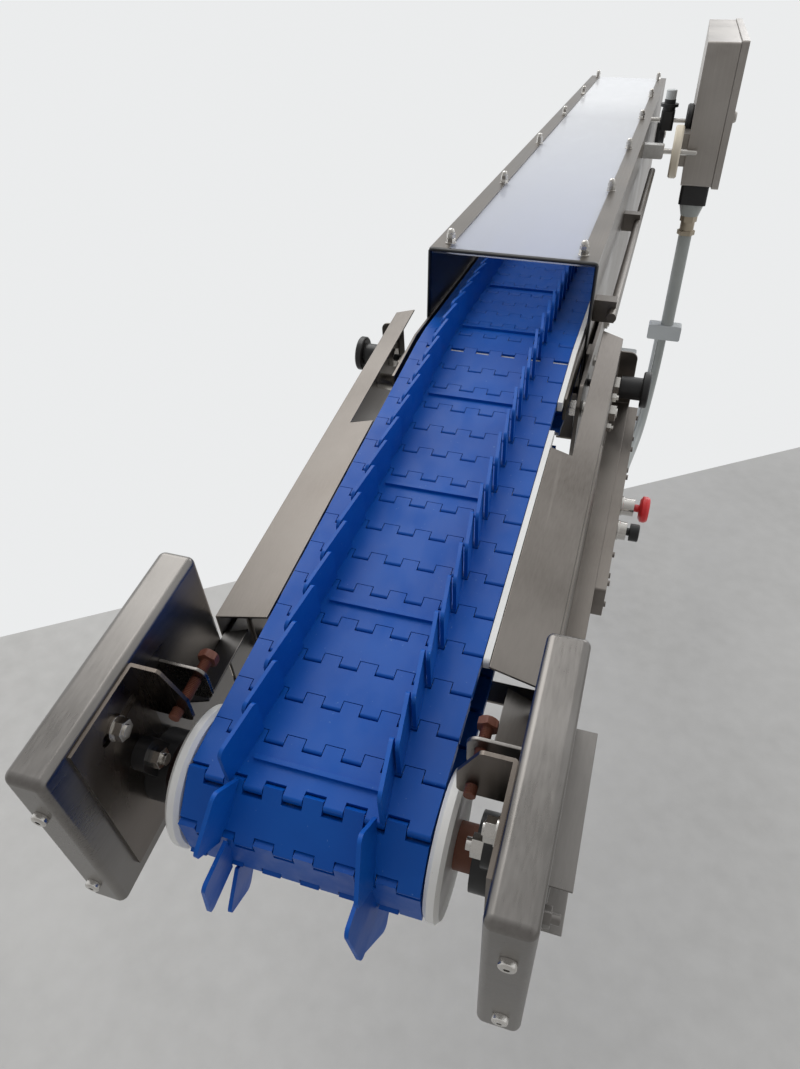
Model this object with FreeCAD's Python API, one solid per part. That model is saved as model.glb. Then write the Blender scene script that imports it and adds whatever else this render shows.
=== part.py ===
import FreeCAD, Part
import math
import os

# Belt conveyor section: a hooded level length and a short inclined end that tilts on two pivot bolts.
# Root parts are drawn in the belt frame of the hooded length, end parts in the belt frame of the
# tilting length: X across, Y (or S) along the belt, Z (or H) up from the belt's top face.

V = FreeCAD.Vector
doc = FreeCAD.newDocument("conveyor")
sheet = doc.addObject("Spreadsheet::Sheet", "Sizes")

SIZES = [
    ("kink_y", -1150), ("belt_z", 200), ("tilt_deg", 9.33),
    ("belt_w", 240), ("pitch", 50.8), ("belt_thk", 12), ("row_gap", 0.8), ("hinge_pair", 40),
    ("finger_over", 6), ("slot_wide", 1.6), ("rod_dia", 5), ("rod_hole", 5.4), ("guard_tall", 50),
    ("guard_thk", 4), ("guard_in", 66), ("guard_out", 78), ("guard_len", 63), ("flight_tall", 4), ("flight_thk", 5),
    ("near_rows", 14), ("first_hood_pin", 22.4), ("hood_rows", 45),
    ("pitch_rad", 66.37), ("hub_flat", 54.4), ("shaft_dia", 30), ("shaft_gap", 0.05),
    ("disc_rad", 73), ("disc_thk", 15), ("disc_in", 122),
    ("sheet_thk", 3), ("hood_half", 135), ("hood_top", 108.6), ("hood_front", 90), ("hood_end", 2338),
    ("hood_lip", 30), ("frame_low", -200), ("foot_lip", 30), ("window_thk", 5), ("stud_x", 108),
    ("stud_first", 125), ("stud_step", 433.2), ("stud_rows", 6), ("stud_dia", 8), ("stud_hole", 9),
    ("near_in", 128.9), ("left_in", 122.5), ("near_bend", 191), ("bend_drop", -20), ("shelf_h", -140),
    ("panel_x", 218.6), ("panel_low", -196), ("near_front", -605), ("near_back", 88), ("pivot_y", -15), ("pivot_z", -85),
    ("cheek_in", 142), ("cheek_thk", 6), ("pivot_dia", 16), ("pivot_hole", 16.1),
    ("pin_dia", 12), ("pin_slot", 13), ("lock_y", 50), ("lock_z", -70), ("knob_face", 245),
    ("knob_dia", 57), ("knob_neck", 36), ("knob_travel", 14),
    ("box_in", 188), ("box_out", 225), ("box_front", -885), ("box_back", -612), ("box_top", 92),
    ("box_low", -148), ("box_wall", 3), ("bracket_thk", 4), ("bracket_x", 178), ("bracket_front", -850),
    ("bracket_back", -748), ("bracket_top", 85), ("bracket_low", -128), ("bearing_thk", 24),
    ("strip_in", 121), ("strip_out", 128), ("rod_x", 166), ("rod_z", 18), ("rail_dia", 16),
    ("clamp_y", 1290), ("cab_x", 245), ("cab_deep", 79), ("cab_y", 1250), ("cab_long", 780),
    ("cab_low", -22), ("cab_high", 313), ("cab_wall", 2.5), ("door_thk", 19),
    ("cord_dia", 25), ("pad_y", 1500), ("pad_hole", 11),
]
for row, (alias, value) in enumerate(SIZES, start=1):
    sheet.set("A%d" % row, alias)
    sheet.set("B%d" % row, str(value))
    sheet.setAlias("B%d" % row, alias)
doc.recompute()


def size(alias):
    return float(sheet.get(alias))


ROOT = FreeCAD.Placement(V(0, size("kink_y"), size("belt_z")), FreeCAD.Rotation())
TILT = FreeCAD.Rotation(V(1, 0, 0), size("tilt_deg"))
NEAR = ROOT.multiply(FreeCAD.Placement(V(), TILT))
nodes = []
NEAR_BOLTS = []
HOOD_BOLTS = []


def to_near(y, z):
    """Belt-frame (Y, Z) of the hooded length as (S, H) of the tilting length."""
    spot = TILT.inverted().multVec(V(0, y, z))
    return spot.y, spot.z


PIVOT_S, PIVOT_H = to_near(size("pivot_y"), size("pivot_z"))
LOCK_S, LOCK_H = to_near(size("lock_y"), size("lock_z"))
PIN_H = -size("belt_thk") / 2
MEET_S, MEET_H = to_near(size("first_hood_pin"), PIN_H)
LAST_PIN = MEET_S - math.sqrt(size("pitch") ** 2 - (PIN_H - MEET_H) ** 2)
AXLE_S = LAST_PIN - (size("near_rows") + 0.5) * size("pitch")
FLAT = math.sqrt(size("pitch_rad") ** 2 - (size("pitch") / 2) ** 2)
AXLE_H = PIN_H - FLAT
DRIVE_Y = size("first_hood_pin") + (size("hood_rows") - 0.5) * size("pitch")
TOOTH = 45.0


# ---------------------------------------------------------------- shape helpers
def block(x0, x1, y0, y1, z0, z1):
    return Part.makeBox(x1 - x0, y1 - y0, z1 - z0, V(x0, y0, z0))


def rod(start, end, dia):
    run = end.sub(start)
    return Part.makeCylinder(dia / 2.0, run.Length, start, run)


def hexagon(start, end, across):
    run = end.sub(start)
    points = [V(across / math.sqrt(3) * math.cos(math.radians(60 * k)),
                across / math.sqrt(3) * math.sin(math.radians(60 * k)), 0) for k in range(7)]
    prism = Part.Face(Part.makePolygon(points)).extrude(V(0, 0, run.Length))
    prism.Placement = FreeCAD.Placement(start, FreeCAD.Rotation(V(0, 0, 1), run))
    return prism


def plate(points, axis, start, thick):
    """Flat plate: points are (y, z) for axis x, (x, z) for axis y, (x, y) for axis z."""
    spots = {"x": lambda p: V(start, p[0], p[1]),
             "y": lambda p: V(p[0], start, p[1]),
             "z": lambda p: V(p[0], p[1], start)}[axis]
    run = {"x": V(thick, 0, 0), "y": V(0, thick, 0), "z": V(0, 0, thick)}[axis]
    corners = [spots(p) for p in points]
    return Part.Face(Part.makePolygon(corners + corners[:1])).extrude(run)


def rounded(shape, direction, radius, pick=None):
    edges = [e for e in shape.Edges if len(e.Vertexes) == 2
             and abs(e.tangentAt(e.FirstParameter).dot(direction)) > 0.999
             and (pick is None or pick(e.CenterOfMass))]
    return shape.makeFillet(radius, edges) if edges else shape


def fused(shapes):
    return shapes[0].multiFuse(shapes[1:]).removeSplitter() if len(shapes) > 1 else shapes[0]


def cut(shape, tools):
    return shape.cut(Part.makeCompound(tools))


def mirror(shape):
    return shape.mirror(V(), V(1, 0, 0))


def both(shapes):
    """The shapes and their mirror images, as separate solids."""
    return list(shapes) + [mirror(s) for s in shapes]


def revolved(points, x, y, z):
    """Outline in (radius, height) turned about an axis along +X that starts at the given spot."""
    corners = [V(x + p[1], y + p[0], z) for p in points]
    face = Part.Face(Part.makePolygon(corners + corners[:1]))
    return face.revolve(V(x, y, z), V(1, 0, 0), 360)


def folded(points, thick):
    """Closed outline of a folded sheet: the given line and its copy offset to the left."""
    offset = []
    for k, here in enumerate(points):
        before = points[max(k - 1, 0)]
        after = points[min(k + 1, len(points) - 1)]
        first = (here[0] - before[0], here[1] - before[1])
        second = (after[0] - here[0], after[1] - here[1])
        if k == 0:
            first = second
        if k == len(points) - 1:
            second = first
        one = math.hypot(*first)
        two = math.hypot(*second)
        normal_one = (-first[1] / one, first[0] / one)
        normal_two = (-second[1] / two, second[0] / two)
        bisect = (normal_one[0] + normal_two[0], normal_one[1] + normal_two[1])
        scale = 2 * thick / (bisect[0] ** 2 + bisect[1] ** 2)
        offset.append((here[0] + bisect[0] * scale, here[1] + bisect[1] * scale))
    return list(points) + offset[::-1]


# ---------------------------------------------------------------- document helpers
def add(label, shapes, place):
    """One node from shapes drawn in the belt frame named by its placement."""
    item = doc.addObject("Part::Feature", label)
    item.Shape = shapes[0] if len(shapes) == 1 else Part.makeCompound(shapes)
    item.Placement = place
    nodes.append(item)
    return item


def body_with_sketch(label, points, place):
    body = doc.addObject("PartDesign::Body", label)
    sketch = body.newObject("Sketcher::SketchObject", label + "_outline")
    plane = [f for f in body.Origin.OriginFeatures if f.Role == "XY_Plane"][0]
    sketch.AttachmentSupport = (plane, [""])
    sketch.MapMode = "FlatFace"
    for k, point in enumerate(points):
        after = points[(k + 1) % len(points)]
        sketch.addGeometry(Part.LineSegment(V(point[0], point[1], 0), V(after[0], after[1], 0)), False)
    body.Placement = place
    nodes.append(body)
    return body, sketch


def turned(label, points, place):
    """Body of one outline in (radius, height) turned about its height axis."""
    body, sketch = body_with_sketch(label, points, place)
    turn = body.newObject("PartDesign::Revolution", label + "_turn")
    turn.Profile = sketch
    turn.ReferenceAxis = (sketch, ["V_Axis"])
    turn.Angle = 360
    doc.recompute()
    return body


def turn_about_x(label, points, x, y, z, frame):
    """Turned body whose height axis points along +X from the given spot."""
    spin = FreeCAD.Rotation(V(0, 0, 1), -90)
    place = frame.multiply(FreeCAD.Placement(V(x, y, z), spin))
    return turned(label, points, place)


# ---------------------------------------------------------------- belt
def belt_row(flight, open_hooks=False):
    """Slab and two side guards of one row: pins at Y = 0 and Y = pitch, top face at Z = 0."""
    half = size("belt_w") / 2
    pitch = size("pitch")
    over = size("finger_over")
    gap = size("row_gap") / 2
    pair = size("hinge_pair")
    thick = size("belt_thk")
    steps = [-half]
    first = -half + 0.45 * pair
    count = int((2 * half - 0.45 * pair) / (pair / 2))
    steps += [first + k * pair / 2 for k in range(count + 1)]
    steps.append(half)
    steps = [s for k, s in enumerate(steps) if k == 0 or s - steps[k - 1] > 4]
    if half - steps[-1] > 0.01:
        steps[-1] = half
    near_edge = []
    far_edge = []
    for k in range(len(steps) - 1):
        reach = k % 2 == 1
        left = steps[k] + (0 if k == 0 else (gap if reach else -gap))
        right = steps[k + 1] - (0 if k == len(steps) - 2 else (gap if reach else -gap))
        level = -over + gap if reach else over + gap
        near_edge += [(left, level), (right, level)]
        left = steps[k] + (0 if k == 0 else (-gap if reach else gap))
        right = steps[k + 1] - (0 if k == len(steps) - 2 else (-gap if reach else gap))
        level = pitch - over - gap - size("slot_wide") if reach else pitch + over - gap
        far_edge += [(left, level), (right, level)]
    slab = plate(near_edge + far_edge[::-1], "z", -thick, thick)
    tip = over - gap
    slab = rounded(slab, V(1, 0, 0), tip - 0.2,
                   lambda c: c.z < 0.1 - thick and (c.y < 0.1 - tip or c.y > pitch + tip - 0.1))
    slab = rounded(slab, V(1, 0, 0), thick / 4, lambda c: c.z > -0.1 and c.y < 0.1 - tip)
    pins = [rod(V(-half - 1, y, -thick / 2), V(half + 1, y, -thick / 2), size("rod_hole"))
            for y in (0, pitch)]
    if open_hooks:
        pins.append(block(-half - 1, half + 1, -over - 1, 0, -thick - 1, 1))
    slab = cut(slab, pins)
    slant = math.degrees(math.atan2(size("guard_out") - size("guard_thk") - size("guard_in"),
                                    size("guard_len")))
    thin = size("guard_thk")
    long = size("guard_len")
    blade = block(0, thin, -long, 0, 0, size("guard_tall"))
    blade = rounded(blade, V(1, 0, 0), 8, lambda c: c.z > 10)
    blade = cut(blade, [block(-1, thin + 1, -long - 1, 2 * over - long, -1, 2.6),
                        block(-1, thin + 1, -2 * over, 1, -1, 2.6)])
    blade.rotate(V(), V(0, 0, 1), slant)
    blade.translate(V(size("guard_in"), pitch + over, 0))
    if flight:
        reach = size("guard_in") - 3
        rib = block(-reach, reach, pitch / 2 - size("flight_thk") / 2,
                    pitch / 2 + size("flight_thk") / 2, -2, size("flight_tall"))
        slab = fused([slab, rib])
    return [slab, blade, mirror(blade)]


PLAIN = belt_row(False)
FLIGHT = belt_row(True)
BRIDGE = belt_row(False, open_hooks=True)


def laid(row, pin_y, pin_z, turn):
    """Copies of a row's solids with its first pin at (pin_y, pin_z), turned about X by turn degrees."""
    down = FreeCAD.Placement(V(0, 0, size("belt_thk") / 2), FreeCAD.Rotation())
    there = FreeCAD.Placement(V(0, pin_y, pin_z), FreeCAD.Rotation(V(1, 0, 0), turn))
    copies = []
    for solid in row:
        copy = solid.copy()
        copy.Placement = there.multiply(down).multiply(solid.Placement)
        copies.append(copy)
    return copies


def hinge_rod(y, z):
    half = size("belt_w") / 2 - 1
    return rod(V(-half, y, z), V(half, y, z), size("rod_dia"))


def belt_parts():
    pitch = size("pitch")
    level = PIN_H
    near = int(size("near_rows"))
    first = LAST_PIN - near * pitch
    top = []
    for k in range(near + 1):
        top += laid(FLIGHT if k % 4 == 0 else PLAIN, first + (k - 1) * pitch, level, 0)
    add("near_belt_top", top, NEAR)
    ring = [(AXLE_S - size("pitch_rad") * math.sin(math.radians(a)),
             AXLE_H + size("pitch_rad") * math.cos(math.radians(a))) for a in (22.5, 67.5, 112.5, 157.5)]
    wrap = []
    for k in range(3):
        pin = ring[k + 1]
        wrap += laid(FLIGHT if k == 2 else PLAIN, pin[0], pin[1], 45 + 45 * k)
    add("near_belt_nose", wrap, NEAR)
    low = AXLE_H - FLAT
    back = []
    for k in range(near):
        back += laid(FLIGHT if k % 4 == 2 else PLAIN, first + k * pitch, low, 180)
    add("near_belt_return", back, NEAR)
    pins = [(first + (k - 1) * pitch, level) for k in range(0, near + 2)]
    pins += ring[1:3]
    pins += [(first + (k - 1) * pitch, low) for k in range(0, near + 1)]
    rods = [hinge_rod(y, z) for y, z in pins]
    add("near_belt_rods", rods, NEAR)

    start = size("first_hood_pin")
    count = int(size("hood_rows"))
    meeting = TILT.multVec(V(0, LAST_PIN, level))
    slope = math.degrees(math.atan2(level - meeting.z, start - meeting.y))
    top = laid(BRIDGE, start - pitch * math.cos(math.radians(slope)),
               level - pitch * math.sin(math.radians(slope)), slope)
    for k in range(count):
        top += laid(FLIGHT if k % 4 == 0 else PLAIN, start + k * pitch, level, 0)
    add("hood_belt_top", top, ROOT)
    ring = [(DRIVE_Y + size("pitch_rad") * math.sin(math.radians(a)),
             AXLE_H + size("pitch_rad") * math.cos(math.radians(a))) for a in (22.5, 67.5, 112.5, 157.5)]
    wrap = []
    for k in range(3):
        wrap += laid(PLAIN, ring[k][0], ring[k][1], -45 - 45 * k)
    add("drive_belt_nose", wrap, ROOT)
    back = []
    for k in range(count + 1):
        back += laid(FLIGHT if k % 4 == 2 else PLAIN, start + k * pitch, low, 180)
    add("hood_belt_return", back, ROOT)
    pins = [(start + k * pitch, level) for k in range(count + 1)] + ring[1:3]
    pins += [(start + k * pitch, low) for k in range(-1, count + 1)]
    add("hood_belt_rods", [hinge_rod(y, z) for y, z in pins], ROOT)


belt_parts()


# ---------------------------------------------------------------- tilting length: frame
def near_side(inner):
    """Side frame whose upper edge starts at the given distance from the centre line."""
    thick = size("sheet_thk")
    bend = size("near_bend")
    outer = size("panel_x")
    shelf = size("shelf_h")
    line = [(outer - 14, size("panel_low")), (outer, size("panel_low")), (outer, shelf),
            (bend, shelf), (bend, size("bend_drop")), (inner, 0)]
    side = plate(folded(line, thick), "y", size("near_front"), size("near_back") - size("near_front"))
    tools = [block(inner - 10, 158, -235, size("near_back") + 1, -70, 20),
             rod(V(bend - 10, PIVOT_S, PIVOT_H), V(bend + 5, PIVOT_S, PIVOT_H), size("pivot_hole")),
             rod(V(bend - 10, LOCK_S, LOCK_H), V(bend + 5, LOCK_S, LOCK_H), 24)]
    side = cut(side, tools)
    ear_back = size("near_back") - thick
    ear_top = size("bend_drop") - 22
    ear = plate([(bend - 12, shelf), (outer, shelf), (outer, ear_top), (bend - 12, ear_top)],
                "y", ear_back, thick)
    ear = rounded(ear, V(0, 1, 0), 12, lambda c: c.z > ear_top - 1)
    skin = block(bend, bend + thick, -600, -180, shelf, size("bend_drop") - 8)
    return fused([side, ear, skin])


def near_frame():
    thick = size("sheet_thk")
    bend = size("near_bend")
    add("near_side_right", [near_side(size("near_in"))], NEAR)
    add("near_side_left", [mirror(near_side(size("left_in")))], NEAR)

    bore = size("pivot_dia")
    tubes = [rod(V(thick - bend, s, -70), V(bend - thick, s, -70), 30) for s in (-535, -370, -205)]
    strips = []
    for x in (-80, 0, 80):
        tubes.append(block(x - 4, x + 4, -690, -95, -55, -28))
        strips.append(block(x - 10, x + 10, -700, -90, -28, -size("belt_thk") - 0.3))
    top = AXLE_H - FLAT - size("belt_thk") / 2 - 0.4
    strips += both([block(90, 116, -690, -110, top - 12, top)])
    for s in (-535, -370, -205):
        hanger = fused([block(94, bend - thick, s - 15, s + 15, top - 16, top - 12),
                        block(bend - thick - 4, bend - thick, s - 15, s + 15, top - 16, -90)])
        tubes += both([hanger])
    add("near_carry_frame", tubes, NEAR)
    add("near_wear_strips", strips, NEAR)

    edge = block(size("strip_in"), size("strip_out"), -600, -198, -14, 1)
    add("near_edge_strips", [rounded(edge, V(1, 0, 0), 5)], NEAR)

    cheek_out = size("cheek_in") + size("cheek_thk")
    bolt = fused([rod(V(size("cheek_in") - 2, PIVOT_S, PIVOT_H), V(bend + 12, PIVOT_S, PIVOT_H), bore),
                  hexagon(V(size("cheek_in") - 12, PIVOT_S, PIVOT_H),
                          V(size("cheek_in") - 0.4, PIVOT_S, PIVOT_H), 24),
                  hexagon(V(bend, PIVOT_S, PIVOT_H), V(bend + 10, PIVOT_S, PIVOT_H), 24)])
    sleeve = rod(V(cheek_out + 0.4, PIVOT_S, PIVOT_H), V(bend - thick, PIVOT_S, PIVOT_H), 26)
    sleeve = cut(sleeve, [rod(V(0, PIVOT_S, PIVOT_H), V(bend, PIVOT_S, PIVOT_H), bore)])
    add("pivot_bolts", both([bolt, sleeve]), NEAR)
    for s, h in ((PIVOT_S + 18, PIVOT_H + 16), (PIVOT_S - 14, PIVOT_H - 18)):
        NEAR_BOLTS.append(fused([rod(V(bend, s, h), V(bend + 10, s, h), 8),
                                 hexagon(V(bend, s, h), V(bend + 6.5, s, h), 13)]))


# ---------------------------------------------------------------- tilting length: end
def near_end():
    thick = 4
    inner = size("box_in")
    outer = size("box_out")
    front = size("box_front")
    back = size("box_back")
    top = size("box_top")
    low = size("box_low")
    wall = size("box_wall")
    link = block(inner - thick, inner, back, -560, low, -56)
    slot_h = 52
    face = inner - thick
    cover = block(face, outer, front, back, low, top)
    cover = rounded(cover, V(1, 0, 0), 9, lambda c: c.z > top - 1)
    cover = cover.makeFillet(8, [e for e in cover.Edges if abs(e.CenterOfMass.z - low) > 0.1
                                 and (e.CenterOfMass.x > outer - 0.1 or e.CenterOfMass.x < face + 0.1)])
    hollow = block(face + wall, outer - wall, front + wall, back - wall, low - 1, top - wall)
    hollow = rounded(hollow, V(1, 0, 0), 6, lambda c: c.z > top - wall - 1)
    cover = cut(cover, [hollow])
    mid = (inner + outer) / 2
    holes = [rod(V(mid, front - 1, h), V(mid, front + wall + 1, h), 8.4) for h in (33, -112)]
    cover = cut(cover, holes)
    add("end_covers", both([cover]), NEAR)
    for h in (33, -112):
        cap = rod(V(mid, front - 7, h), V(mid, front, h), 15)
        cap = cap.makeFillet(2.5, [e for e in cap.Edges if abs(e.CenterOfMass.y - front + 7) < 0.1])
        screw = fused([cap, rod(V(mid, front - 1, h), V(mid, front + 14, h), 8)])
        socket = hexagon(V(mid, front - 8, h), V(mid, front - 3, h), 5)
        NEAR_BOLTS.append(cut(screw, [socket]))

    leg_out = inner - thick
    leg_in = leg_out - size("bracket_thk")
    b_front = size("bracket_front")
    b_back = size("bracket_back")
    b_top = size("bracket_top")
    b_low = size("bracket_low")
    leg = block(leg_in, leg_out, b_front, b_back, b_low, b_top)
    flange = plate([(132, 12), (leg_out, 12), (leg_out, b_top), (152, b_top), (132, 45)], "y",
                   b_back - size("bracket_thk"), size("bracket_thk"))
    flange = rounded(flange, V(0, 1, 0), 6, lambda c: c.x < 153)
    bracket = fused([leg, flange])
    bracket = rounded(bracket, V(0, 0, 1), 3, lambda c: c.x > leg_out - 0.1 and c.y > b_back - 0.1)
    slot = fused([block(leg_in - 1, leg_out + 1, -812, -768, slot_h - 6.5, slot_h + 6.5)]
                 + [rod(V(leg_in - 1, s, slot_h), V(leg_out + 1, s, slot_h), 13) for s in (-812, -768)])
    screw_h = 26
    screw_x = 146
    tools = [slot, rod(V(leg_in - 1, AXLE_S, AXLE_H), V(leg_out + 1, AXLE_S, AXLE_H), 50),
             rod(V(screw_x, b_back - 10, screw_h), V(screw_x, b_back + 1, screw_h), 12.1)]
    reach = 58.5
    lean = math.radians(20)
    ears = [(AXLE_S - reach * math.sin(lean) * k, AXLE_H + reach * math.cos(lean) * k) for k in (1, -1)]
    tools += [rod(V(leg_in - 1, s, h), V(leg_out + 1, s, h), 12.2) for s, h in ears]
    bracket = cut(bracket, tools)
    add("bearing_brackets", both([bracket]), NEAR)

    seat = leg_in - size("bearing_thk")
    hull = [rod(V(seat + 10, s, h), V(leg_in, s, h), 34) for s, h in ears]
    web = plate([(ears[0][0] - 17 * math.cos(lean), ears[0][1] - 17 * math.sin(lean)),
                 (ears[0][0] + 17 * math.cos(lean), ears[0][1] + 17 * math.sin(lean)),
                 (ears[1][0] + 17 * math.cos(lean), ears[1][1] + 17 * math.sin(lean)),
                 (ears[1][0] - 17 * math.cos(lean), ears[1][1] - 17 * math.sin(lean))],
                "x", seat + 10, size("bearing_thk") - 10)
    drum = rod(V(seat, AXLE_S, AXLE_H), V(leg_in, AXLE_S, AXLE_H), 76)
    housing = fused(hull + [web, drum])
    bore = size("shaft_dia") + 2 * size("shaft_gap")
    tools = [rod(V(seat - 1, AXLE_S, AXLE_H), V(leg_in + 1, AXLE_S, AXLE_H), bore)]
    tools += [rod(V(seat - 1, s, h), V(leg_in + 1, s, h), 12.2) for s, h in ears]
    housing = cut(housing, tools)
    add("idler_bearings", both([housing]), NEAR)

    ear_face = seat + 10
    for s, h in ears:
        NEAR_BOLTS.append(fused([rod(V(ear_face - 16, s, h), V(leg_out, s, h), 12),
                                 hexagon(V(ear_face - 11, s, h), V(ear_face, s, h), 19)]))
    NEAR_BOLTS.append(fused([rod(V(leg_in - 14, -798, slot_h), V(leg_out, -798, slot_h), 12),
                             hexagon(V(leg_in - 12, -798, slot_h), V(leg_in - 3, -798, slot_h), 19),
                             rod(V(leg_in - 3, -798, slot_h), V(leg_in, -798, slot_h), 25)]))

    lug = block(132, leg_out, -716, -712, -5, 44)
    lug = rounded(lug, V(0, 1, 0), 12, lambda c: c.x < 133)
    lug = cut(lug, [rod(V(screw_x, -720, screw_h), V(screw_x, -700, screw_h), 12.1)])
    apron = plate([(150, -28), (leg_out, -45), (leg_out, -48), (150, -31)], "y", -705,
                  704 + size("near_front"))
    add("end_walls", both([link, lug, apron]), NEAR)
    screw = fused([rod(V(screw_x, -762, screw_h), V(screw_x, -690, screw_h), 12),
                   hexagon(V(screw_x, -692, screw_h), V(screw_x, -683, screw_h), 19)])
    add("take_up_screw_right", [screw], NEAR)
    add("take_up_screw_left", [mirror(screw)], NEAR)

    guard = block(outer, outer + 22, -800, -640, -128, -20)
    guard = cut(guard, [block(outer + wall, outer + 23, -801, -639, -128 + wall, -20 - wall)])
    stud = fused([rod(V(outer, -820, -35), V(outer + 16, -820, -35), 10),
                  hexagon(V(outer, -820, -35), V(outer + 8, -820, -35), 17)])
    add("box_side_plate", [guard, stud], NEAR)


# ---------------------------------------------------------------- wheels and shafts
def wheel(y, z, xs):
    """Sprockets on a round shaft: eight shallow lobes that stay inside the belt's inner flats."""
    rim = size("hub_flat")
    shapes = []
    for x in xs:
        disc = rod(V(x - 12, y, z), V(x + 12, y, z), 2 * rim)
        notches = [rod(V(x - 13, y + (rim + 2) * math.sin(math.radians(TOOTH * k)),
                         z + (rim + 2) * math.cos(math.radians(TOOTH * k))),
                       V(x + 13, y + (rim + 2) * math.sin(math.radians(TOOTH * k)),
                         z + (rim + 2) * math.cos(math.radians(TOOTH * k))), 16) for k in range(8)]
        bore = [rod(V(x - 13, y, z), V(x + 13, y, z), size("shaft_dia"))]
        shapes.append(cut(disc, notches + bore))
    return shapes


def wheels():
    half = size("shaft_dia") / 2
    reach = size("bracket_thk") + 4
    end = size("box_in") - reach - 1
    turn_about_x("idler_shaft", [(0, -end), (half - 1.5, -end), (half, 1.5 - end), (half, end - 1.5),
                                 (half - 1.5, end), (0, end)], 0, AXLE_S, AXLE_H, NEAR)
    add("idler_sprockets", wheel(AXLE_S, AXLE_H, (-80, 0, 80)), NEAR)
    rim = size("disc_rad")
    thick = size("disc_thk")
    ring = [(half, 0), (rim - 4, 0), (rim, 4), (rim, thick - 4), (rim - 4, thick), (half, thick)]
    add("guide_discs", both([revolved(ring, size("disc_in"), AXLE_S, AXLE_H)]), NEAR)
    start = size("disc_in") + thick
    seat = size("box_in") - 4 - size("bracket_thk") - size("bearing_thk")
    collar = rod(V(start, AXLE_S, AXLE_H), V(seat - 0.4, AXLE_S, AXLE_H), 46)
    collar = cut(collar, [rod(V(start - 1, AXLE_S, AXLE_H), V(seat, AXLE_S, AXLE_H), size("shaft_dia"))])
    add("shaft_collars", both([collar]), NEAR)

    web = size("hood_half")
    turn_about_x("drive_shaft", [(0, -web - 62), (half, -web - 62), (half, web + 34), (0, web + 34)],
                 0, DRIVE_Y, AXLE_H, ROOT)
    add("drive_sprockets", wheel(DRIVE_Y, AXLE_H, (-80, 0, 80)), ROOT)


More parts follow.
